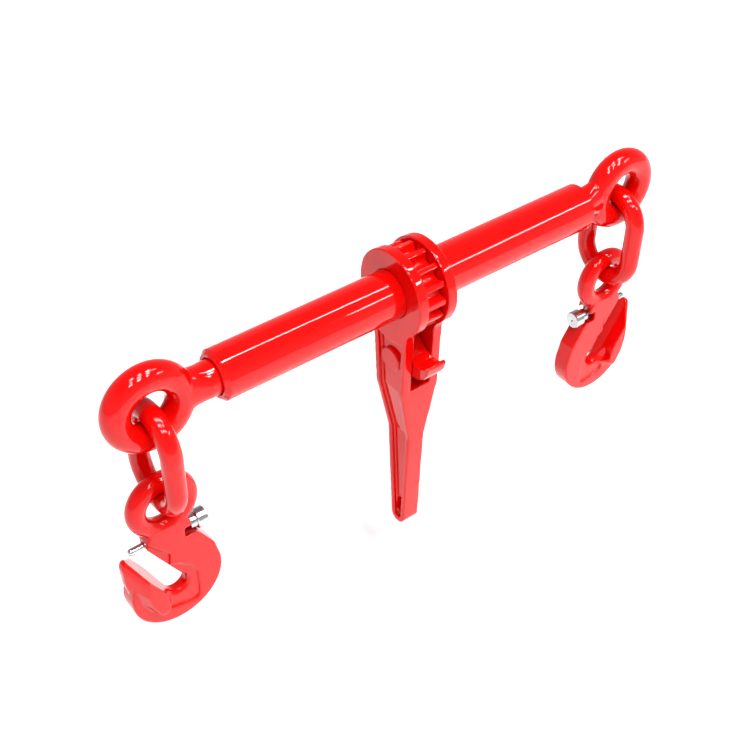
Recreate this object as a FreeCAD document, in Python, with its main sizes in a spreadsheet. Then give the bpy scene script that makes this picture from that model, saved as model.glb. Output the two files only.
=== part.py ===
"""Ratchet load binder with an eye, a link and a cradle grab hook at each end.

The row frame has +X along the barrel, +Z up and its origin on the barrel's axis,
in the middle of the ratchet wheel. All sizes are millimetres and live in the sheet.
Each end is one set of pieces, drawn about the middle of its eye with the outside
towards -X. The right-hand set is the same pieces turned half a turn about Z.
"""
import FreeCAD, Part
import math
import os
import re
import Sketcher

os.makedirs("parts", exist_ok=True)
doc = FreeCAD.newDocument("load_binder")

SIZES = [
    # barrel
    ("barrel_radius", 17.0), ("barrel_left", -150.8), ("barrel_right", 157.4),
    ("barrel_chamfer", 2.7), ("thread_bore", 12.05), ("relief_bore", 13.5),
    ("thread_zone", 37.5), ("relief_cone", 2.0), ("bore_chamfer", 0.6),
    # ratchet wheel
    ("wheel_tip", 29.2), ("wheel_root", 22.6), ("wheel_half", 7.9), ("tooth_count", 14.0),
    ("gap_root_half", 1.3), ("gap_tip_half", 5.5), ("gap_round", 1.4),
    ("weld_clear", 0.02),
    # handle
    ("cheek_radius", 31.2), ("cheek_outer", 15.7), ("cheek_inner", 8.3),
    ("cheek_clear", 0.08), ("cheek_round", 0.6), ("handle_tilt", -1.6),
    ("lever_top_half", 16.8), ("lever_top", 30.0), ("lever_end", 207.0),
    ("lever_end_radius", 7.2), ("waist_top", 80.0), ("waist_bottom", 124.0),
    ("tail_half", 7.0), ("flange", 4.0), ("recess_depth", 2.9), ("boss_radius", 37.5),
    ("slot_half", 8.3), ("slot_floor", 76.5), ("back_wall", 4.6), ("back_wall_top", 45.0),
    ("tail_slot_half", 3.1), ("tail_slot_top", 194.1), ("tail_slot_bottom", 203.4),
    ("throat_radius", 10.0),
    # pawl and its rivet
    ("pawl_pivot", 54.4), ("pawl_half", 7.9), ("rivet_radius", 6.0), ("rivet_clear", 0.06),
    ("rivet_head", 9.2), ("rivet_head_high", 2.6), ("rivet_seat", 0.02), ("rivet_bevel", 0.9),
    ("pawl_hub", 10.0),
    # detent under the pawl
    ("plunger_radius", 3.6), ("plunger_bore", 3.7),
    ("detent_bottom", 102.0), ("plunger_top", 65.0), ("plunger_long", 22.0),
    ("detent_wire", 0.5), ("detent_turns", 6.0),
    # eyebolts
    ("eye_left_x", -194.5), ("eye_right_x", 196.5), ("eye_major", 21.5),
    ("eye_wire", 9.4), ("shank_radius", 11.75), ("shank_start", 38.0),
    ("spindle_end", 154.0), ("thread_start", 46.0), ("thread_pitch", 5.0),
    ("thread_depth", 1.6), ("journal_radius", 7.0), ("journal_long", 6.0),
    # end stop
    ("stop_radius", 13.2), ("stop_thick", 5.0), ("running_clear", 0.1),
    ("screw_head", 9.5), ("screw_head_high", 5.0), ("screw_radius", 4.0),
    ("screw_long", 20.0), ("screw_socket", 3.5),
    # link
    ("link_wire", 6.9), ("link_top", -4.9), ("link_half", 21.8), ("link_bottom", -75.8),
    # hook
    ("hook_eye_z", -80.3), ("hook_eye_major", 18.4), ("hook_eye_wire", 6.7),
    ("hook_half", 6.8), ("disc_x", 1.4), ("disc_z", -150.4), ("disc_radius", 33.5),
    ("slot_radius", 7.1), ("seat_x", 1.9), ("seat_z", -153.8), ("slot_angle", 59.3),
    ("wing_half", 13.6), ("ridge_half", 2.5), ("ledge_depth", 1.8), ("slot_reach", 70.0),
    ("seat_half", 3.0), ("bell_radius", 11.5),
    # safety pin through the neck of the hook
    ("pin_z", -108.7), ("pin_radius", 2.5), ("pin_tip_x", -27.4), ("knob_face_x", 28.9),
    ("knob_inner_x", 21.2), ("knob_radius", 6.7), ("knob_step_x", 16.5), ("knob_step_radius", 5.0),
    ("notch_radius", 7.4), ("notch_x", 10.5),
    ("chamber_radius", 4.3), ("chamber_end_x", -12.2), ("bush_long", 4.0),
    ("collar_radius", 4.0), ("collar_long", 1.5), ("spring_wire", 0.4),
    ("pin_turns", 6.0),
]

sheet = doc.addObject("Spreadsheet::Sheet", "sizes")
for row, (alias, value) in enumerate(SIZES, start=1):
    sheet.set(f"A{row}", alias)
    sheet.set(f"B{row}", str(value))
    sheet.setAlias(f"B{row}", alias)
doc.recompute()


def size(alias):
    """One driving dimension as a plain number."""
    return float(sheet.get(alias))


def bound(expression):
    """An expression in the sheet's own words, as any object can use it."""
    return re.sub(r"[a-z_]{4,}", lambda word: WORDS.get(word.group(), word.group()), expression)


WORDS = {alias: "sizes." + alias for alias, value in SIZES}


def place(item, x="0", y="0", z="0", axis=None, angle="0"):
    """Place a primitive by expressions, turned about one axis."""
    if axis is not None:
        item.Placement.Rotation = FreeCAD.Rotation(FreeCAD.Vector(*axis), 90)
        item.setExpression("Placement.Rotation.Angle", bound(f"({angle}) * 1 deg"))
    item.setExpression("Placement.Base.x", bound(f"({x}) * 1 mm"))
    item.setExpression("Placement.Base.y", bound(f"({y}) * 1 mm"))
    item.setExpression("Placement.Base.z", bound(f"({z}) * 1 mm"))
    return item


def cylinder(name, radius, low, high, along="x", x="0", y="0", z="0"):
    """A cylinder along one axis, from low to high on that axis."""
    item = doc.addObject("Part::Cylinder", name)
    item.setExpression("Radius", bound(f"({radius}) * 1 mm"))
    item.setExpression("Height", bound(f"(({high}) - ({low})) * 1 mm"))
    if along == "x":
        return place(item, low, y, z, (0, 1, 0), "90")
    if along == "y":
        return place(item, x, low, z, (1, 0, 0), "-90")
    return place(item, x, y, low)


def box(name, x_low, x_high, y_low, y_high, z_low, z_high):
    """A box between two corners."""
    item = doc.addObject("Part::Box", name)
    item.setExpression("Length", bound(f"(({x_high}) - ({x_low})) * 1 mm"))
    item.setExpression("Width", bound(f"(({y_high}) - ({y_low})) * 1 mm"))
    item.setExpression("Height", bound(f"(({z_high}) - ({z_low})) * 1 mm"))
    return place(item, x_low, y_low, z_low)


def torus(name, major, minor, sweep="360", **where):
    """A ring in the XZ plane, or part of one."""
    item = doc.addObject("Part::Torus", name)
    item.setExpression("Radius1", bound(f"({major}) * 1 mm"))
    item.setExpression("Radius2", bound(f"({minor}) * 1 mm"))
    item.setExpression("Angle3", bound(f"({sweep}) * 1 deg"))
    return place(item, axis=(1, 0, 0), angle="90", **where)


def fuse(name, *items):
    """Join solids into one."""
    item = doc.addObject("Part::MultiFuse", name)
    item.Shapes = list(items)
    return item


def common(name, *items):
    """Keep what the solids share."""
    item = doc.addObject("Part::MultiCommon", name)
    item.Shapes = list(items)
    return item


def cut(name, base, *tools):
    """Take the tools away from the base."""
    item = doc.addObject("Part::Cut", name)
    item.Base = base
    item.Tool = tools[0] if len(tools) == 1 else fuse(name + "_tools", *tools)
    return item


def rotation(x_axis, y_axis):
    """The rotation that takes local X and Y to two row directions."""
    across = FreeCAD.Vector(*x_axis)
    upward = FreeCAD.Vector(*y_axis)
    return FreeCAD.Rotation(across, upward, across.cross(upward), "ZXY")


PLANES = {"yz": rotation((0, 1, 0), (0, 0, 1)), "xz": rotation((1, 0, 0), (0, 0, 1))}


def outline(name, plane, points):
    """A closed sketch of straight lines in a row plane."""
    sketch = doc.addObject("Sketcher::SketchObject", name)
    sketch.Placement = FreeCAD.Placement(FreeCAD.Vector(), PLANES[plane])
    return draw_outline(sketch, points)


def draw_outline(sketch, points):
    """Fill a sketch with a closed outline whose corners are bound to the sheet."""
    corners = []
    for across, upward in points:
        u_now = float(sheet.evalExpression(bound(across)))
        v_now = float(sheet.evalExpression(bound(upward)))
        corners.append(FreeCAD.Vector(u_now, v_now, 0))
    count = len(corners)
    for index in range(count):
        sketch.addGeometry(Part.LineSegment(corners[index], corners[(index + 1) % count]))
    for index in range(count):
        following = (index + 1) % count
        sketch.addConstraint(Sketcher.Constraint("Coincident", index, 2, following, 1))
        for kind, expression, value in (
            ("DistanceX", points[index][0], corners[index].x),
            ("DistanceY", points[index][1], corners[index].y),
        ):
            number = sketch.addConstraint(Sketcher.Constraint(kind, -1, 1, index, 1, value))
            sketch.setExpression(f"Constraints[{number}]", bound(expression))
    return sketch


def prism(name, plane, points, half):
    """A straight prism on an outline, half its thickness on each side of the plane."""
    item = doc.addObject("Part::Extrusion", name)
    item.Base = outline(name + "_outline", plane, points)
    item.DirMode = "Normal"
    item.Solid = True
    item.Symmetric = True
    item.setExpression("LengthFwd", bound(f"2 * ({half}) * 1 mm"))
    return item


def both_sides(points):
    """An outline given on its right side, closed by its mirror image."""
    mirrored = [(f"-({across})", upward) for across, upward in reversed(points)]
    return points + mirrored


def rounded(name, base, radius, picks):
    """Round the base's edges that the test picks."""
    doc.recompute()
    item = doc.addObject("Part::Fillet", name)
    item.Base = base
    edges = [i for i, edge in enumerate(base.Shape.Edges, start=1) if picks(edge)]
    item.Edges = [(i, radius, radius) for i in edges]
    return item


def bevelled(name, base, amount, picks):
    """Bevel the base's edges that the test picks."""
    doc.recompute()
    item = doc.addObject("Part::Chamfer", name)
    item.Base = base
    edges = [i for i, edge in enumerate(base.Shape.Edges, start=1) if picks(edge)]
    item.Edges = [(i, amount, amount) for i in edges]
    return item


def circle_at(edge, radius, tolerance=0.05):
    """Whether an edge is a full circle of about this radius."""
    curve = edge.Curve
    return hasattr(curve, "Radius") and abs(curve.Radius - radius) < tolerance and edge.isClosed()


def spring(name, radius, wire, low, high, turns, along):
    """A coil spring from low to high along Z or X, as a round wire on a helix."""
    length = high - low - 2 * wire
    helix = Part.makeHelix(length / turns, length, radius)
    section = Part.Wire([Part.makeCircle(wire, FreeCAD.Vector(radius, 0, 0), FreeCAD.Vector(0, 1, 0))])
    coil = Part.Wire(helix.Edges).makePipeShell([section], True, True)
    item = doc.addObject("Part::Feature", name)
    item.Shape = coil
    if along == "x":
        turn = FreeCAD.Rotation(FreeCAD.Vector(0, 1, 0), 90)
        item.Placement = FreeCAD.Placement(FreeCAD.Vector(low + wire, 0, 0), turn)
    else:
        item.Placement = FreeCAD.Placement(FreeCAD.Vector(0, 0, low + wire), FreeCAD.Rotation())
    return item


nodes = []
TURNS = {"plain": ((0, 0, 1), "0"), "turned": ((0, 0, 1), "180"), "tilted": ((1, 0, 0), "handle_tilt")}


def finish_node(label, item, x="0", turn="plain"):
    """Wrap a finished solid as a node, with its label and its place in the row."""
    node = doc.addObject("Part::Compound", label + "_node")
    node.Links = [item]
    axis, angle = TURNS[turn]
    place(node, x=x, axis=axis, angle=angle)
    node.Label = label
    nodes.append(node)
    return node


# ---------------------------------------------------------------- barrel
def barrel_tube():
    """The barrel: a tube threaded at both ends and relieved between, turned about X."""
    body = doc.addObject("PartDesign::Body", "barrel_tube_body")
    profile = body.newObject("Sketcher::SketchObject", "barrel_tube_profile")
    plane = [f for f in body.Origin.OriginFeatures if f.Role == "XZ_Plane"][0]
    profile.AttachmentSupport = [(plane, "")]
    profile.MapMode = "FlatFace"
    edge = "bore_chamfer"
    half = [
        ("barrel_left", f"thread_bore + {edge}"), (f"barrel_left + {edge}", "thread_bore"),
        ("barrel_left + thread_zone", "thread_bore"),
        ("barrel_left + thread_zone + relief_cone", "relief_bore"),
        ("barrel_right - thread_zone - relief_cone", "relief_bore"),
        ("barrel_right - thread_zone", "thread_bore"),
        (f"barrel_right - {edge}", "thread_bore"), ("barrel_right", f"thread_bore + {edge}"),
        ("barrel_right", "barrel_radius - barrel_chamfer"),
        ("barrel_right - barrel_chamfer", "barrel_radius"),
        ("barrel_left + barrel_chamfer", "barrel_radius"),
        ("barrel_left", "barrel_radius - barrel_chamfer"),
    ]
    draw_outline(profile, half)
    turned = body.newObject("PartDesign::Revolution", "barrel_tube_turned")
    turned.Profile = profile
    turned.ReferenceAxis = (profile, ["H_Axis"])
    turned.Angle = 360
    body.Tip = turned
    return body


def ratchet_wheel():
    """The toothed wheel: one tooth gap is cut and repeated round the axis."""
    body = doc.addObject("PartDesign::Body", "ratchet_wheel_body")
    plane = [f for f in body.Origin.OriginFeatures if f.Role == "YZ_Plane"][0]
    disc = body.newObject("Sketcher::SketchObject", "wheel_disc")
    disc.AttachmentSupport = [(plane, "")]
    disc.MapMode = "FlatFace"
    for radius in ("wheel_tip", "barrel_radius + weld_clear"):
        number = disc.addGeometry(Part.Circle(FreeCAD.Vector(), FreeCAD.Vector(0, 0, 1), 20))
        disc.addConstraint(Sketcher.Constraint("Coincident", number, 3, -1, 1))
        rule = disc.addConstraint(Sketcher.Constraint("Radius", number, 20 + number))
        disc.setExpression(f"Constraints[{rule}]", bound(radius))
    blank = body.newObject("PartDesign::Pad", "wheel_blank")
    blank.Profile = disc
    blank.SideType = "Symmetric"
    blank.setExpression("Length", bound("2 * wheel_half * 1 mm"))
    gap = body.newObject("Sketcher::SketchObject", "tooth_gap")
    gap.AttachmentSupport = [(plane, "")]
    gap.MapMode = "FlatFace"
    beyond = "wheel_tip + 2"
    draw_outline(gap, [
        ("-gap_root_half", "-wheel_root"), ("-gap_root_half - gap_round", "-wheel_root - gap_round"),
        ("-gap_tip_half", f"-({beyond})"), ("gap_tip_half", f"-({beyond})"),
        ("gap_root_half + gap_round", "-wheel_root - gap_round"), ("gap_root_half", "-wheel_root"),
    ])
    first_gap = body.newObject("PartDesign::Pocket", "first_gap")
    first_gap.Profile = gap
    first_gap.SideType = "Symmetric"
    first_gap.setExpression("Length", bound("4 * wheel_half * 1 mm"))
    doc.recompute()
    gaps = body.newObject("PartDesign::PolarPattern", "all_gaps")
    gaps.Originals = [first_gap]
    gaps.Axis = (disc, ["N_Axis"])
    gaps.Angle = 360
    gaps.setExpression("Occurrences", bound("tooth_count"))
    body.Tip = gaps
    return body


finish_node("barrel_tube", barrel_tube())
finish_node("ratchet_wheel", ratchet_wheel(), turn="tilted")

# ---------------------------------------------------------------- handle
def handle():
    """The forged lever: two cheeks that run on the barrel, a head and an I-beam tail."""
    side = prism("lever_side", "yz", both_sides([
        ("lever_top_half", "-lever_top"), ("lever_end_radius", "-lever_end"),
    ]), "cheek_outer + 1")
    end = cylinder("lever_round_end", "lever_end_radius", "-20", "20", z="-lever_end")
    front = prism("lever_front", "xz", both_sides([
        ("cheek_outer", "-10"), ("cheek_outer", "-waist_top"),
        ("tail_half", "-waist_bottom"), ("tail_half", "-lever_end - 20"),
    ]), "30")
    lever = common("lever", fuse("lever_block", side, end), front)
    ring = cylinder("ring", "cheek_radius", "-cheek_outer", "cheek_outer")
    rim = rounded("ring_rounded", ring, size("cheek_round"), lambda edge: edge.isClosed())
    across = "(lever_top_half + throat_radius)"
    depth = f"sqrt((cheek_radius + throat_radius)^2 - {across}^2)"
    share = "cheek_radius / (cheek_radius + throat_radius)"
    throat_points = both_sides([
        ("lever_top_half - 4", "-lever_top + 10"), (f"{across} * {share}", f"-({depth}) * {share}"),
        (across, f"-({depth})"), ("lever_top_half", f"-({depth})"),
        ("lever_top_half - 4", f"-({depth})"),
    ])
    throats = prism("throat_block", "yz", throat_points, "cheek_outer")
    hollows = [
        cylinder(f"throat_hollow_{word}", "throat_radius", "-40", "40",
                 y=f"{sign}{across}", z=f"-({depth})")
        for word, sign in (("back", ""), ("front", "-"))
    ]
    blank = fuse("handle_blank", rim, lever, cut("throats", throats, *hollows))

    inner = prism("recess_side", "yz", both_sides([
        ("lever_top_half - flange", "-lever_top"), ("lever_end_radius - flange", "-lever_end - 2"),
    ]), "50")
    faces = fuse("recess_front", *[
        prism(f"recess_front_{word}", "xz", [
            (f"{sign}(cheek_outer - recess_depth)", "-10"),
            (f"{sign}(cheek_outer - recess_depth)", "-waist_top"),
            (f"{sign}(tail_half - recess_depth)", "-waist_bottom"),
            (f"{sign}(tail_half - recess_depth)", "-lever_end - 20"),
            (f"{sign}(cheek_outer + 10)", "-lever_end - 20"), (f"{sign}(cheek_outer + 10)", "-10"),
        ], "30") for word, sign in (("right", ""), ("left", "-"))
    ])
    boss = cylinder("ring_boss", "boss_radius", "-50", "50")
    recess = cut("face_recess", common("recess", inner, faces), boss)
    wall = "lever_top_half - back_wall"
    tools = [
        recess,
        cylinder("barrel_bore", "barrel_radius + cheek_clear", "-50", "50"),
        cylinder("wheel_room", "cheek_radius + 1.5", "-cheek_inner", "cheek_inner"),
        box("pawl_slot", "-slot_half", "slot_half", "-40", wall, "-slot_floor", "0"),
        box("back_slot", "-slot_half", "slot_half", "0", "40", "-back_wall_top", "0"),
        cylinder("rivet_hole", "rivet_radius + rivet_seat", "-50", "50", z="-pawl_pivot"),
        cylinder("detent_bore", "plunger_bore", "-detent_bottom", "-slot_floor + 1", along="z"),
        box("tail_slot", "-20", "20", "-tail_slot_half", "tail_slot_half",
            "-tail_slot_bottom", "-tail_slot_top"),
        cylinder("tail_slot_foot", "tail_slot_half", "-20", "20", z="-tail_slot_bottom"),
        cylinder("tail_slot_head", "tail_slot_half", "-20", "20", z="-tail_slot_top"),
    ]
    return cut("handle_solid", blank, *tools)


def pawl():
    """The pawl: a hub on the rivet, one tooth behind it and a scooped thumb lever in front."""
    profile = [
        ("15.6", "-30.5"), ("15.2", "-26.5"), ("17.4", "-25.9"), ("19.4", "-29.5"),
        ("18.9", "-34.0"), ("14.6", "-38.6"), ("9.0", "-44.6"),
        ("pawl_hub", "-pawl_pivot"), ("0", "-pawl_pivot - pawl_hub"), ("-14.0", "-64.2"),
        ("-21.0", "-62.3"), ("-26.5", "-59.2"), ("-29.5", "-54.5"), ("-31.0", "-49.0"),
        ("-30.3", "-47.2"), ("-28.3", "-47.6"), ("-26.4", "-50.4"),
        ("-22.4", "-52.0"), ("-18.2", "-52.0"), ("-12.2", "-50.0"), ("-6.0", "-45.6"),
        ("-2.2", "-41.5"), ("1.0", "-38.4"), ("8.0", "-36.4"), ("15.9", "-34.5"),
    ]
    plate = prism("pawl_plate", "yz", profile, "pawl_half")
    hub = cylinder("pawl_hub_round", "pawl_hub", "-pawl_half", "pawl_half", z="-pawl_pivot")
    bore = cylinder("pawl_bore", "rivet_radius + rivet_clear", "-20", "20", z="-pawl_pivot")
    return cut("pawl_solid", fuse("pawl_blank", plate, hub), bore)


def pawl_rivet():
    """The rivet that the pawl rocks on, with a bevelled head in each recess."""
    seat = "cheek_outer - recess_depth + rivet_seat"
    shank = cylinder("rivet_shank", "rivet_radius", f"-({seat}) - 1", f"{seat} + 1", z="-pawl_pivot")
    heads = []
    for word, low, high in (
        ("left", f"-({seat}) - rivet_head_high", f"-({seat})"),
        ("right", seat, f"{seat} + rivet_head_high"),
    ):
        head = cylinder(f"rivet_head_{word}", "rivet_head", low, high, z="-pawl_pivot")
        outer = size("cheek_outer") - size("recess_depth") + size("rivet_head_high")
        heads.append(bevelled(
            f"rivet_bevel_{word}", head, size("rivet_bevel"),
            lambda edge, at=outer: edge.isClosed() and abs(edge.CenterOfMass.x) > at - 0.5))
    return fuse("pawl_rivet_solid", shank, *heads)


def detent_plunger():
    """The sprung plunger whose round end presses on the pawl's heel."""
    stem = cylinder("plunger_stem", "plunger_radius", "-plunger_top - plunger_long",
                    "-plunger_top - plunger_radius", along="z")
    tip = doc.addObject("Part::Sphere", "plunger_tip")
    tip.setExpression("Radius", bound("plunger_radius * 1 mm"))
    place(tip, z="-plunger_top - plunger_radius")
    return fuse("plunger_solid", stem, tip)


finish_node("handle", handle(), turn="tilted")
finish_node("pawl", pawl(), turn="tilted")
finish_node("pawl_rivet", pawl_rivet(), turn="tilted")
finish_node("detent_plunger", detent_plunger(), turn="tilted")
detent_low = -size("detent_bottom") + 0.1
detent_high = -size("plunger_top") - size("plunger_long") - 0.1
finish_node("detent_spring", spring(
    "detent_coil", size("plunger_bore") - 0.4 - size("detent_wire"), size("detent_wire"),
    detent_low, detent_high, size("detent_turns"), "z"), turn="tilted")


# ---------------------------------------------------------------- one end of the binder
def ellipse(name, wide, tall, turn, x, z):
    """A section across a forged arm, as a closed edge; wide is along the row's Y."""
    item = doc.addObject("Part::Ellipse", name)
    item.setExpression("MajorRadius", bound(f"({wide}) * 1 mm"))
    item.setExpression("MinorRadius", bound(f"({tall}) * 1 mm"))
    item.Placement.Rotation = turn
    item.setExpression("Placement.Base.x", bound(f"({x}) * 1 mm"))
    item.setExpression("Placement.Base.z", bound(f"({z}) * 1 mm"))
    return item


def loft(name, sections, ruled=False):
    """A solid through a row of sections."""
    item = doc.addObject("Part::Loft", name)
    item.Sections = sections
    item.Solid = True
    item.Ruled = ruled
    return item


def spindle(name):
    """The screw: rings stand for the thread's turns, and a plain journal ends it."""
    start, end = size("thread_start"), size("spindle_end")
    outer, pitch, depth = size("shank_radius"), size("thread_pitch"), size("thread_depth")
    journal, past = size("journal_radius"), size("journal_long")
    root = size("shank_start")
    corners = [(root - 6, 0), (root - 6, outer - 2.2), (root - 0.5, outer), (start, outer)]
    for turn in range(int((end - start) / pitch)):
        at = start + turn * pitch
        corners += [(at + 0.2 * pitch, outer - depth), (at + 0.5 * pitch, outer - depth),
                    (at + 0.7 * pitch, outer), (at + pitch, outer)]
    corners += [(end, outer - depth), (end, journal), (end + past, journal), (end + past, 0)]
    points = [FreeCAD.Vector(x, 0, radius) for x, radius in corners]
    half = Part.Face(Part.makePolygon(points + points[:1]))
    item = doc.addObject("Part::Feature", name)
    item.Shape = half.revolve(FreeCAD.Vector(), FreeCAD.Vector(1, 0, 0), 360)
    return item


def eyebolt(side):
    """The forged eye, its neck and the screw behind it, with a tapped end hole."""
    ring = torus(f"eye_ring_{side}", "eye_major", "eye_wire")
    across = rotation((0, 0, 1), (0, -1, 0))
    neck = loft(f"eye_neck_{side}", [
        ellipse(f"neck_in_{side}", "17.5", "eye_wire - 0.4", across, "eye_major - 1", "0"),
        ellipse(f"neck_mid_{side}", "12.9", "10.2", across, "eye_major + eye_wire + 1", "0"),
        ellipse(f"neck_out_{side}", "shank_radius - 0.05", "shank_radius - 0.06", across,
                "shank_start", "0"),
    ])
    hole = cylinder(f"end_hole_{side}", "screw_radius + weld_clear",
                    "spindle_end + journal_long - screw_long", "spindle_end + journal_long + 1")
    blank = fuse(f"eyebolt_blank_{side}", ring, neck, spindle(f"spindle_{side}"))
    return cut(f"eyebolt_solid_{side}", blank, hole)


def stop_washer(side):
    """The loose washer that stops the screw at the end of the thread."""
    start = "spindle_end + 0.3"
    disc = cylinder(f"stop_disc_{side}", "stop_radius", start, f"{start} + stop_thick")
    bore = cylinder(f"stop_bore_{side}", "journal_radius + running_clear",
                    "spindle_end - 5", "spindle_end + 20")
    return cut(f"stop_solid_{side}", disc, bore)


def end_screw(side):
    """The socket screw that keeps the stop washer on the journal."""
    face = "spindle_end + journal_long"
    head = cylinder(f"screw_head_{side}", "screw_head", face, f"{face} + screw_head_high")
    stem = cylinder(f"screw_stem_{side}", "screw_radius", f"{face} - screw_long + 2", face)
    socket = cylinder(f"screw_socket_{side}", "screw_socket", f"{face} + 1.5", f"{face} + 10")
    return cut(f"screw_solid_{side}", fuse(f"screw_blank_{side}", head, stem), socket)


def link(side):
    """The oval link in the YZ plane: two half rings and two straight limbs."""
    parts = []
    for word, angle, centre in (
        ("top", 0, "link_top - link_half"), ("foot", 180, "link_bottom + link_half"),
    ):
        bend = doc.addObject("Part::Torus", f"link_{word}_{side}")
        bend.setExpression("Radius1", bound("link_half * 1 mm"))
        bend.setExpression("Radius2", bound("link_wire * 1 mm"))
        bend.setExpression("Angle3", "180 deg")
        flip = FreeCAD.Rotation(FreeCAD.Vector(1, 0, 0), angle)
        bend.Placement.Rotation = flip * PLANES["yz"]
        bend.setExpression("Placement.Base.z", bound(f"({centre}) * 1 mm"))
        parts.append(bend)
    for word, sign in (("back", ""), ("front", "-")):
        parts.append(cylinder(f"link_limb_{word}_{side}", "link_wire", "link_bottom + link_half",
                              "link_top - link_half", along="z", y=f"{sign}link_half"))
    return fuse(f"link_solid_{side}", *parts)


def along_slot(across, onward):
    """A point of the hook given across and along its slot, as expressions for X and Z."""
    sine, cosine = "sin(slot_angle * 1 deg)", "cos(slot_angle * 1 deg)"
    return (f"({onward}) * {cosine} - ({across}) * {sine}",
            f"-({onward}) * {sine} - ({across}) * {cosine}")


def leaf(name, points, y):
    """An outline given onward and across the slot, as a closed wire at one Y."""
    corners = [along_slot(across, onward) for onward, across in points]
    drawn = outline(name, "xz", corners)
    drawn.setExpression("Placement.Base.y", bound(f"({y}) * 1 mm"))
    return drawn


def hook(side):
    """The cradle grab hook: an eye, a thick plate with a slot, and a winged point."""
    eye = torus(f"hook_eye_{side}", "hook_eye_major", "hook_eye_wire", z="hook_eye_z")
    disc = cylinder(f"hook_disc_{side}", "disc_radius", "-hook_half", "hook_half", along="y",
                    x="disc_x", z="disc_z")
    neck = prism(f"hook_neck_{side}", "xz", [
        ("-12.5", "-96"), ("-16.2", "-103"), ("-16.2", "-109.3"), ("7.6", "-150.4"), ("34.6", "-146"),
        ("31.2", "-131.5"), ("22.8", "-117.8"), ("16.6", "-109"), ("15.6", "-100"), ("12.5", "-96"),
    ], "hook_half")
    ledges = [
        prism(f"hook_ledge_{word}_{side}", "xz", [
            ("-18.4", "-101.2"), ("-1.8", "-121.2"), ("-2.7", "-130"), ("3.7", "-134.1"),
            ("11.8", "-141.4"), ("16.3", "-149.8"), ("16.6", "-161.7"), ("16", "-173.2"),
            ("12.2", "-175.2"), ("3.4", "-173.4"), ("-5.3", "-171.6"), ("-14", "-160"),
            ("-14", "-130"), ("-24", "-112"),
        ], "ledge_depth") for word in ("back", "front")
    ]
    for ledge, sign in zip(ledges, ("", "-")):
        ledge.Base.setExpression("Placement.Base.y", bound(f"{sign}hook_half * 1 mm"))
    plate = cut(f"hook_plate_{side}", fuse(f"hook_plate_blank_{side}", disc, neck), *ledges)
    ridge = [
        ("82.5", "84"), ("81.9", "86.5"), ("84.5", "89.6"), ("98.6", "97.0"), ("112.2", "101.8"),
        ("125.8", "102.9"), ("138", "101"), ("144", "95"), ("140", "84"), ("112", "82"), ("95", "82"),
    ]
    rim = [
        ("100.3", "84"), ("101.2", "85.6"), ("104.3", "88.2"), ("111.9", "93.0"), ("122.3", "96.7"),
        ("133.6", "97.7"), ("136", "95.2"), ("134.4", "90.7"), ("130", "87.5"), ("120.3", "84.5"),
        ("109.8", "84"),
    ]
    wings = [
        loft(f"hook_wing_{word}_{side}", [
            leaf(f"wing_ridge_{word}_{side}", ridge, f"{sign}ridge_half"),
            leaf(f"wing_rim_{word}_{side}", rim, f"{sign}wing_half"),
        ], ruled=True) for word, sign in (("back", ""), ("front", "-"))
    ]
    core = doc.addObject("Part::Extrusion", f"wing_core_{side}")
    core.Base = leaf(f"wing_core_outline_{side}", ridge, "0")
    core.DirMode = "Normal"
    core.Solid = True
    core.Symmetric = True
    core.setExpression("LengthFwd", bound("2 * ridge_half * 1 mm"))
    sine, cosine = "sin(slot_angle * 1 deg)", "cos(slot_angle * 1 deg)"
    slot = doc.addObject("Part::Box", f"slot_box_{side}")
    slot.setExpression("Length", bound("slot_reach * 1 mm"))
    slot.setExpression("Width", bound("4 * wing_half * 1 mm"))
    slot.setExpression("Height", bound("2 * slot_radius * 1 mm"))
    slot.Placement.Rotation = FreeCAD.Rotation(FreeCAD.Vector(0, 1, 0), 90)
    slot.setExpression("Placement.Rotation.Angle", bound("(180 + slot_angle) * 1 deg"))
    slot.setExpression("Placement.Base.x", bound(f"(seat_x + slot_radius * {sine}) * 1 mm"))
    slot.setExpression("Placement.Base.y", bound("-2 * wing_half * 1 mm"))
    slot.setExpression("Placement.Base.z", bound(f"(seat_z + slot_radius * {cosine}) * 1 mm"))
    seat = cylinder(f"slot_seat_{side}", "slot_radius", "-30", "30", along="y", x="seat_x", z="seat_z")
    tools = [
        slot, seat,
        cylinder(f"knob_notch_{side}", "notch_radius", "notch_x", "50", z="pin_z"),
        cylinder(f"spring_chamber_{side}", "chamber_radius", "chamber_end_x", "notch_x + 1", z="pin_z"),
        cylinder(f"pin_bore_{side}", "pin_radius + running_clear", "-50", "0", z="pin_z"),
    ]
    for word, sign, angle in (("back", "", "-90"), ("front", "-", "90")):
        flare = doc.addObject("Part::Cone", f"seat_flare_{word}_{side}")
        flare.setExpression("Radius1", bound("slot_radius * 1 mm"))
        flare.setExpression("Radius2", bound("bell_radius * 1 mm"))
        flare.setExpression("Height", bound("(hook_half - seat_half) * 1 mm"))
        tools.append(place(flare, "seat_x", f"{sign}seat_half", "seat_z", (1, 0, 0), angle))
        low, high = ("hook_half", "20") if word == "back" else ("-20", "-hook_half")
        tools.append(cylinder(f"seat_bell_{word}_{side}", "bell_radius", low, high, along="y",
                              x="seat_x", z="seat_z"))
    return cut(f"hook_solid_{side}", fuse(f"hook_blank_{side}", eye, plate, core, *wings), *tools)


def safety_pin(side):
    """The pin that closes the mouth, round at its free end."""
    rod = cylinder(f"pin_rod_{side}", "pin_radius", "pin_tip_x + pin_radius", "knob_face_x - 3",
                   z="pin_z")
    tip = doc.addObject("Part::Sphere", f"pin_tip_{side}")
    tip.setExpression("Radius", bound("pin_radius * 1 mm"))
    place(tip, x="pin_tip_x + pin_radius", z="pin_z")
    return fuse(f"pin_solid_{side}", rod, tip)


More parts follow.
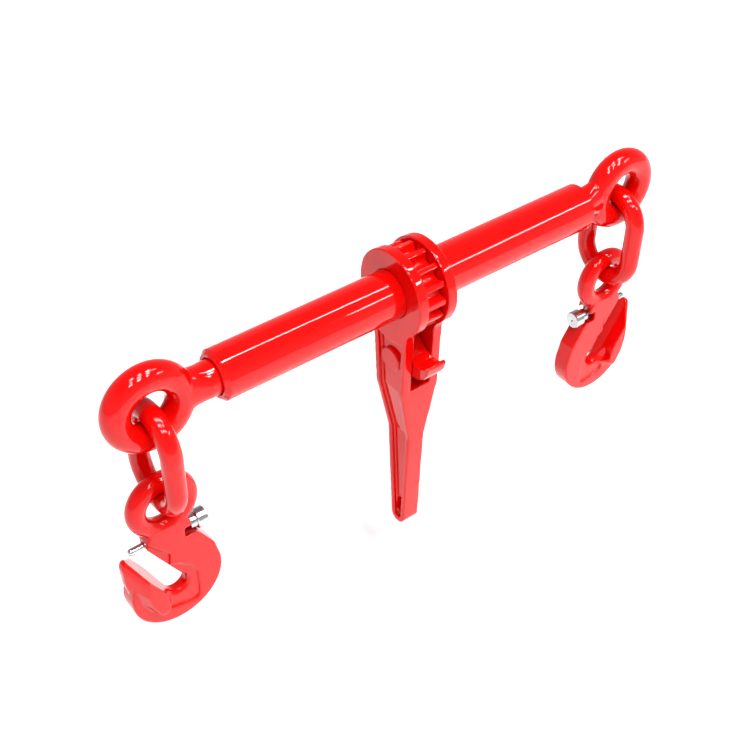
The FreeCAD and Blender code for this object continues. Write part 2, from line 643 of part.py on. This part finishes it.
def pin_knob(side):
    """The pull knob on the pin's inner end, bevelled and stepped, with a centre mark."""
    barrel = cylinder(f"knob_barrel_{side}", "knob_radius", "knob_inner_x", "knob_face_x", z="pin_z")
    worn = bevelled(f"knob_bevel_{side}", barrel, 0.7, lambda edge: edge.isClosed())
    step = cylinder(f"knob_step_{side}", "knob_step_radius", "knob_step_x", "knob_inner_x + 1",
                    z="pin_z")
    hole = cylinder(f"knob_hole_{side}", "pin_radius + weld_clear", "knob_step_x - 1",
                    "knob_face_x - 2.9", z="pin_z")
    mark = doc.addObject("Part::Cone", f"knob_mark_{side}")
    mark.Radius1 = 0
    mark.Radius2 = 1.4
    mark.Height = 1.2
    place(mark, x="knob_face_x - 1.1", z="pin_z", axis=(0, 1, 0), angle="90")
    return cut(f"knob_solid_{side}", fuse(f"knob_blank_{side}", worn, step), hole, mark)


def ring_on_pin(name, radius, clear, low, high):
    """A short sleeve round the pin."""
    sleeve = cylinder(f"{name}_sleeve", radius, low, high, z="pin_z")
    bore = cylinder(f"{name}_bore", f"pin_radius + {clear}", f"{low} - 1", f"{high} + 1", z="pin_z")
    return cut(f"{name}_solid", sleeve, bore)


def pin_spring(side):
    """The spring between the bush and the collar."""
    low = size("chamber_end_x") + 0.2 + size("collar_long") + 0.1
    high = size("notch_x") - size("bush_long") - 0.1
    middle = (size("pin_radius") + size("chamber_radius")) / 2
    coil = spring(f"pin_coil_{side}", middle, size("spring_wire"), low, high, size("pin_turns"), "x")
    coil.Placement.Base.z = size("pin_z")
    return coil


for side, turn in (("left", "plain"), ("right", "turned")):
    at = f"eye_{side}_x"
    collar_low = "chamber_end_x + 0.2"
    pieces = {
        "eyebolt": eyebolt(side),
        "stop_washer": stop_washer(side),
        "end_screw": end_screw(side),
        "link": link(side),
        "hook": hook(side),
        "safety_pin": safety_pin(side),
        "pin_knob": pin_knob(side),
        "pin_collar": ring_on_pin(f"collar_{side}", "collar_radius", "weld_clear",
                                  collar_low, f"{collar_low} + collar_long"),
        "spring_bush": ring_on_pin(f"bush_{side}", "chamber_radius - weld_clear", "running_clear",
                                   "notch_x - bush_long", "notch_x"),
        "pin_spring": pin_spring(side),
    }
    for name, item in pieces.items():
        finish_node(f"{name}_{side}", item, x=at, turn=turn)


# ---------------------------------------------------------------- checks and files
doc.recompute()
for item in doc.Objects:
    if "Invalid" in item.State or "Error" in item.State:
        raise RuntimeError(f"{item.Name} failed: {item.State}")
for node in nodes:
    shape = node.Shape
    if shape.isNull() or not shape.isValid() or len(shape.Solids) != 1:
        raise RuntimeError(f"{node.Label} isn't one valid solid")
    shape.exportStep(f"parts/{node.Label}.step")
    print(f"{node.Label}: {shape.Volume / 1000:.2f} cm3")
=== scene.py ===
"""A ratchet load binder: the looks of its forged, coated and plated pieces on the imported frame."""
import math

import bmesh
import bpy
import numpy as np
from mathutils import Matrix, Vector


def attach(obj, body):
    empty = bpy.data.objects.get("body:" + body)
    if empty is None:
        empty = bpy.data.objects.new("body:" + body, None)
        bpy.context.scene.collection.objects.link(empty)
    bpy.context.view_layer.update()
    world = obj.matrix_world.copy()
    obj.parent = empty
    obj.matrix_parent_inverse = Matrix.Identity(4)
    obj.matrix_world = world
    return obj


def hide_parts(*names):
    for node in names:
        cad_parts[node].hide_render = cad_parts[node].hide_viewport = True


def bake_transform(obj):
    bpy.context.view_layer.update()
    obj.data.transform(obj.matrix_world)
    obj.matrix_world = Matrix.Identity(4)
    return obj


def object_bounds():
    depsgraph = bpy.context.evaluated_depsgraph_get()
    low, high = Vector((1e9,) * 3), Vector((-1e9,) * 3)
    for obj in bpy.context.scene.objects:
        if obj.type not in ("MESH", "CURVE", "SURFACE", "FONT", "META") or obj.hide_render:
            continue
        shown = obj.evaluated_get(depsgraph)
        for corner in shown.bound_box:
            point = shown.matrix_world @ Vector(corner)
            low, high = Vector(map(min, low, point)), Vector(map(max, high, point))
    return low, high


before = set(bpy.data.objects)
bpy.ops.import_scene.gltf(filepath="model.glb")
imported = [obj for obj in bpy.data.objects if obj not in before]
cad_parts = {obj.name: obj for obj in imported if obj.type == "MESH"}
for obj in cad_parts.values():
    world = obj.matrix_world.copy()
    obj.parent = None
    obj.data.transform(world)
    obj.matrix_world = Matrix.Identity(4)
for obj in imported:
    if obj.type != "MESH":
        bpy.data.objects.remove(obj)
low_cad, high_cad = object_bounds()
MM = 0.001
# the middle of each end's eye, and which way the barrel lies from it
SIDES = {"left": (-194.5 * MM, 1), "right": (196.5 * MM, -1)}
# where the forged neck ends and the screw begins, from the middle of the eye
NECK_END = 45.7 * MM
SCREW_START, SCREW_END = 45.6 * MM, 154 * MM
SCREW_RADIUS, THREAD_DEPTH, THREAD_PITCH = 11.75 * MM, 1.6 * MM, 5 * MM
JOURNAL_RADIUS, JOURNAL_LONG = 7 * MM, 6 * MM


# ---------------------------------------------------------------- materials
def new_material(name):
    """A new node material, its tree and its shader."""
    mat = bpy.data.materials.new(name)
    mat.use_nodes = True
    tree = mat.node_tree
    return mat, tree, tree.nodes["Principled BSDF"]


def noise(tree, scale, detail):
    """Noise that is fixed to the piece itself."""
    place = tree.nodes.new("ShaderNodeTexCoord")
    texture = tree.nodes.new("ShaderNodeTexNoise")
    texture.inputs["Scale"].default_value = scale
    texture.inputs["Detail"].default_value = detail
    texture.inputs["Roughness"].default_value = 0.55
    tree.links.new(place.outputs["Object"], texture.inputs["Vector"])
    return texture.outputs["Fac"]


def remap(tree, value, low, high, to_low, to_high):
    """A value moved from one range to another."""
    node = tree.nodes.new("ShaderNodeMapRange")
    for name, number in (("From Min", low), ("From Max", high), ("To Min", to_low), ("To Max", to_high)):
        node.inputs[name].default_value = number
    tree.links.new(value, node.inputs["Value"])
    return node.outputs["Result"]


def mix(tree, factor, first, second):
    """Two colours mixed by a value."""
    node = tree.nodes.new("ShaderNodeMix")
    node.data_type = "RGBA"
    sockets = {socket.identifier: socket for socket in node.inputs}
    sockets["A_Color"].default_value = (*first, 1)
    sockets["B_Color"].default_value = (*second, 1)
    tree.links.new(factor, sockets["Factor_Float"])
    return next(socket for socket in node.outputs if socket.identifier == "Result_Color")


def bump(tree, layers):
    """Bumps laid on each other: each layer is a height, a distance in metres and a strength."""
    normal = None
    for height, distance, strength in layers:
        node = tree.nodes.new("ShaderNodeBump")
        node.inputs["Distance"].default_value = distance
        node.inputs["Strength"].default_value = strength
        tree.links.new(height, node.inputs["Height"])
        if normal is not None:
            tree.links.new(normal, node.inputs["Normal"])
        normal = node.outputs["Normal"]
    return normal


def red_coat(name, forged):
    """Thick glossy red coat; on forged steel the skin below shows through it as soft unevenness."""
    mat, tree, shader = new_material(name)
    shade = remap(tree, noise(tree, 45, 5), 0.35, 0.65, 0, 1)
    colour = mix(tree, shade, (0.60, 0.0016, 0.0012), (0.68, 0.0022, 0.0015))
    tree.links.new(colour, shader.inputs["Base Color"])
    shader.inputs["Roughness"].default_value = 0.5
    shader.inputs["Specular IOR Level"].default_value = 0.0
    shader.inputs["Coat Weight"].default_value = 1.0
    coat_rough = remap(tree, noise(tree, 180, 4), 0.3, 0.7, 0.015, 0.05)
    tree.links.new(coat_rough, shader.inputs["Coat Roughness"])
    shader.inputs["Coat IOR"].default_value = 1.4
    peel = [(noise(tree, 500, 2), 0.00002, 0.25)]
    if forged:
        peel.append((noise(tree, 110, 3), 0.0002, 0.16))
    normal = bump(tree, peel)
    tree.links.new(normal, shader.inputs["Normal"])
    tree.links.new(normal, shader.inputs["Coat Normal"])
    return mat


def metal(name, colour, second, rough_low, rough_high, scale):
    """Plated or bare steel with fine uneven shine."""
    mat, tree, shader = new_material(name)
    shade = remap(tree, noise(tree, scale, 4), 0.35, 0.65, 0, 1)
    tree.links.new(mix(tree, shade, colour, second), shader.inputs["Base Color"])
    rough = remap(tree, noise(tree, scale * 3, 4), 0.3, 0.7, rough_low, rough_high)
    tree.links.new(rough, shader.inputs["Roughness"])
    shader.inputs["Metallic"].default_value = 1.0
    grain = bump(tree, [(noise(tree, scale * 6, 3), 0.00003, 0.4)])
    tree.links.new(grain, shader.inputs["Normal"])
    return mat


MATERIALS = {
    "red_forged": red_coat("red coat on forged steel", True),
    "red_smooth": red_coat("red coat on turned steel", False),
    "zinc": metal("bright zinc", (0.62, 0.63, 0.64), (0.50, 0.51, 0.53), 0.14, 0.26, 130),
    "steel": metal("oiled steel", (0.36, 0.36, 0.37), (0.25, 0.25, 0.26), 0.28, 0.45, 90),
    "spring": metal("spring wire", (0.22, 0.22, 0.23), (0.15, 0.15, 0.16), 0.25, 0.4, 120),
}


def dress(obj, material):
    """The piece gets that one material."""
    obj.data.materials.clear()
    obj.data.materials.append(MATERIALS[material])
    for face in obj.data.polygons:
        face.material_index = 0


# ---------------------------------------------------------------- pieces
def new_piece(name, mesh, body, material):
    """A new piece on its body, with its material."""
    piece = bpy.data.objects.new(name, mesh)
    bpy.context.scene.collection.objects.link(piece)
    mesh.polygons.foreach_set("use_smooth", np.ones(len(mesh.polygons), dtype=bool))
    dress(piece, material)
    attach(piece, body)
    return piece


def forged(node, body, voxel, rounds, end=None, inward=1):
    """A soft-edged copy of a CAD node: an even skin of small faces, smoothed until its edges are round.

    A piece with an end keeps only what lies on the outer side of that X.
    """
    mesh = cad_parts[node].data.copy()
    work = bpy.data.objects.new(node + "_work", mesh)
    bpy.context.scene.collection.objects.link(work)
    if end is not None:
        shape = bmesh.new()
        shape.from_mesh(mesh)
        bmesh.ops.remove_doubles(shape, verts=shape.verts, dist=1e-6)
        found = bmesh.ops.bisect_plane(
            shape, geom=shape.verts[:] + shape.edges[:] + shape.faces[:],
            plane_co=(end, 0, 0), plane_no=(inward, 0, 0), clear_outer=True)
        edges = [item for item in found["geom_cut"] if isinstance(item, bmesh.types.BMEdge)]
        bmesh.ops.edgeloop_fill(shape, edges=edges)
        bmesh.ops.triangulate(shape, faces=shape.faces[:])
        shape.to_mesh(mesh)
        shape.free()
    remesh = work.modifiers.new("skin", "REMESH")
    remesh.mode = "VOXEL"
    remesh.voxel_size = voxel
    smooth = work.modifiers.new("soften", "SMOOTH")
    smooth.factor = 0.5
    smooth.iterations = rounds
    graph = bpy.context.evaluated_depsgraph_get()
    done = bpy.data.meshes.new_from_object(work.evaluated_get(graph))
    bpy.data.objects.remove(work)
    piece = new_piece(node + "_forging", done, body, "red_forged")
    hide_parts(node)


def thread(side):
    """The helical screw behind the eye, right-handed on the left end and left-handed on the right."""
    centre, inward = SIDES[side]
    around, steps = 72, 16
    rows = int(round((SCREW_END - SCREW_START) / THREAD_PITCH * steps))
    hand = 1 if side == "left" else -1
    xs = np.linspace(SCREW_START, SCREW_END, rows + 1)
    turn = np.linspace(0, 2 * math.pi, around, endpoint=False)
    phase = (xs[:, None] / THREAD_PITCH - hand * inward * turn[None, :] / (2 * math.pi)) % 1.0
    rise = np.clip((0.5 - np.abs(phase - 0.5) * 2 + 0.2) / 0.55, 0, 1)
    height = SCREW_RADIUS - THREAD_DEPTH * (rise * rise * (3 - 2 * rise))
    fade = np.clip((xs - SCREW_START) / (1.2 * THREAD_PITCH), 0, 1)[:, None]
    radius = SCREW_RADIUS * (1 - fade) + height * fade
    y = radius * np.cos(turn)[None, :]
    z = radius * np.sin(turn)[None, :]
    x = np.repeat(centre + inward * xs[:, None], around, axis=1)
    verts = np.stack([x, y, z], axis=-1).reshape(-1, 3)
    faces = []
    for row in range(rows):
        for column in range(around):
            a = row * around + column
            b = row * around + (column + 1) % around
            faces.append((a, b, b + around, a + around))
    faces.append(tuple(range(around))[::-1])
    faces.append(tuple(range(rows * around, (rows + 1) * around)))
    if inward > 0:
        faces = [face[::-1] for face in faces]
    mesh = bpy.data.meshes.new(f"thread_{side}")
    mesh.from_pydata([tuple(v) for v in verts], [], faces)
    mesh.validate()
    new_piece(f"screw_thread_{side}", mesh, f"eyebolt_{side}", "red_smooth")


def journal(side):
    """The plain end of the screw that carries the stop washer."""
    centre, inward = SIDES[side]
    shape = bmesh.new()
    middle = Vector((centre + inward * (SCREW_END + JOURNAL_LONG / 2), 0, 0))
    place = Matrix.Translation(middle) @ Matrix.Rotation(math.pi / 2, 4, "Y")
    bmesh.ops.create_cone(
        shape, cap_ends=True, segments=64, radius1=JOURNAL_RADIUS, radius2=JOURNAL_RADIUS,
        depth=JOURNAL_LONG, matrix=place)
    mesh = bpy.data.meshes.new(f"journal_{side}")
    shape.to_mesh(mesh)
    shape.free()
    new_piece(f"screw_journal_{side}", mesh, f"eyebolt_{side}", "steel")


def coil(node):
    """A spring: a copy of its CAD node in spring wire, fixed in the world where the CAD node stood."""
    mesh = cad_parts[node].data.copy()
    piece = bpy.data.objects.new(node + "_coil", mesh)
    bpy.context.scene.collection.objects.link(piece)
    dress(piece, "spring")
    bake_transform(piece)
    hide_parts(node)


forged("handle", "handle", 0.6 * MM, 3)
coil("detent_spring")
forged("ratchet_wheel", "barrel", 0.5 * MM, 6)
forged("pawl", "pawl", 0.45 * MM, 6)
for side, (centre, inward) in SIDES.items():
    forged(f"eyebolt_{side}", f"eyebolt_{side}", 0.6 * MM, 8, centre + inward * NECK_END, inward)
    thread(side)
    journal(side)
    forged(f"hook_{side}", f"hook_{side}", 0.5 * MM, 16)
    coil(f"pin_spring_{side}")

SHOWN = {
    "barrel_tube": "red_smooth", "pawl_rivet": "red_smooth",
    "detent_plunger": "steel",
}
for side in SIDES:
    SHOWN.update({
        f"link_{side}": "red_smooth", f"stop_washer_{side}": "steel", f"end_screw_{side}": "steel",
        f"safety_pin_{side}": "zinc", f"pin_knob_{side}": "zinc", f"pin_collar_{side}": "zinc",
        f"spring_bush_{side}": "steel",
    })
for node, material in SHOWN.items():
    dress(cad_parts[node], material)


# ---------------------------------------------------------------- camera, floor and light
def camera():
    """The camera, above and in front of the left end, looking down at the middle of the barrel."""
    unit = 17 * MM   # the barrel's radius
    turn, rise, roll = math.radians(38.989), math.radians(40.659), math.radians(1.154)
    away, aside, up_shift = 48.134 * unit, -1.3258 * unit, -3.4574 * unit
    back = Vector((-math.sin(turn) * math.cos(rise), -math.cos(turn) * math.cos(rise), math.sin(rise)))
    right = Vector((math.cos(turn), -math.sin(turn), 0))
    up = back.cross(right)
    right_rolled = right * math.cos(roll) + up * math.sin(roll)
    up_rolled = up * math.cos(roll) - right * math.sin(roll)
    data = bpy.data.cameras.new("camera")
    data.sensor_width = 36
    data.lens = 60.317
    data.clip_start, data.clip_end = 0.01, 20
    cam = bpy.data.objects.new("camera", data)
    bpy.context.scene.collection.objects.link(cam)
    at = back * away + right_rolled * aside + up_rolled * up_shift + Vector((1 * MM, 0, 0))
    axes = Matrix((right_rolled, up_rolled, back)).transposed()
    cam.matrix_world = Matrix.Translation(at) @ axes.to_4x4()
    bpy.context.scene.camera = cam


def softbox(name, place, aim, size, power, panes=(1, 1), gap=0.15):
    """A lamp of one or more panes, with a gap between them as in a window."""
    place, aim = Vector(place), Vector(aim)
    facing = (aim - place).to_track_quat("-Z", "Y")
    wide, tall = size
    for column in range(panes[0]):
        for row in range(panes[1]):
            data = bpy.data.lights.new(f"{name}_{column}{row}", "AREA")
            data.shape = "RECTANGLE"
            data.size = wide / panes[0] * (1 - gap)
            data.size_y = tall / panes[1] * (1 - gap)
            data.energy = power / (panes[0] * panes[1])
            lamp = bpy.data.objects.new(data.name, data)
            across = ((column + 0.5) / panes[0] - 0.5) * wide
            upward = ((row + 0.5) / panes[1] - 0.5) * tall
            lamp.location = place + facing @ Vector((across, upward, 0))
            lamp.rotation_mode = "QUATERNION"
            lamp.rotation_quaternion = facing
            bpy.context.scene.collection.objects.link(lamp)


def floor():
    """A pale floor below the hanging binder."""
    mesh = bpy.data.meshes.new("floor")
    half, level = 6.0, low_cad.z - 60 * MM
    corners = [(-half, -half, level), (half, -half, level), (half, half, level), (-half, half, level)]
    mesh.from_pydata(corners, [], [(0, 1, 2, 3)])
    obj = bpy.data.objects.new("floor", mesh)
    bpy.context.scene.collection.objects.link(obj)
    mat, tree, shader = new_material("pale floor")
    shader.inputs["Base Color"].default_value = (0.98, 0.98, 0.98, 1)
    shader.inputs["Roughness"].default_value = 0.7
    obj.data.materials.append(mat)


def studio():
    """The room: pale near the floor and darker overhead."""
    world = bpy.data.worlds.new("studio")
    world.use_nodes = True
    bpy.context.scene.world = world
    tree = world.node_tree
    place = tree.nodes.new("ShaderNodeTexCoord")
    parts = tree.nodes.new("ShaderNodeSeparateXYZ")
    tree.links.new(place.outputs["Generated"], parts.inputs[0])
    strength = remap(tree, parts.outputs["Z"], 0.05, 0.75, 0.62, 0.22)
    tree.links.new(strength, tree.nodes["Background"].inputs["Strength"])
    tree.nodes["Background"].inputs["Color"].default_value = (1, 1, 1, 1)


camera()
floor()
studio()
softbox("window", (-0.1, -1.0, 2.45), (0, -0.1, 0), (2.6, 2.2), 132, (3, 3), 0.62)
softbox("high_strip", (1.0, -0.37, 2.2), (0, 0, 0), (0.14, 0.9), 12)
softbox("low_strip", (1.35, -1.4, 1.25), (0, 0, 0), (0.9, 0.1), 9)
bpy.context.scene.view_settings.view_transform = "Standard"
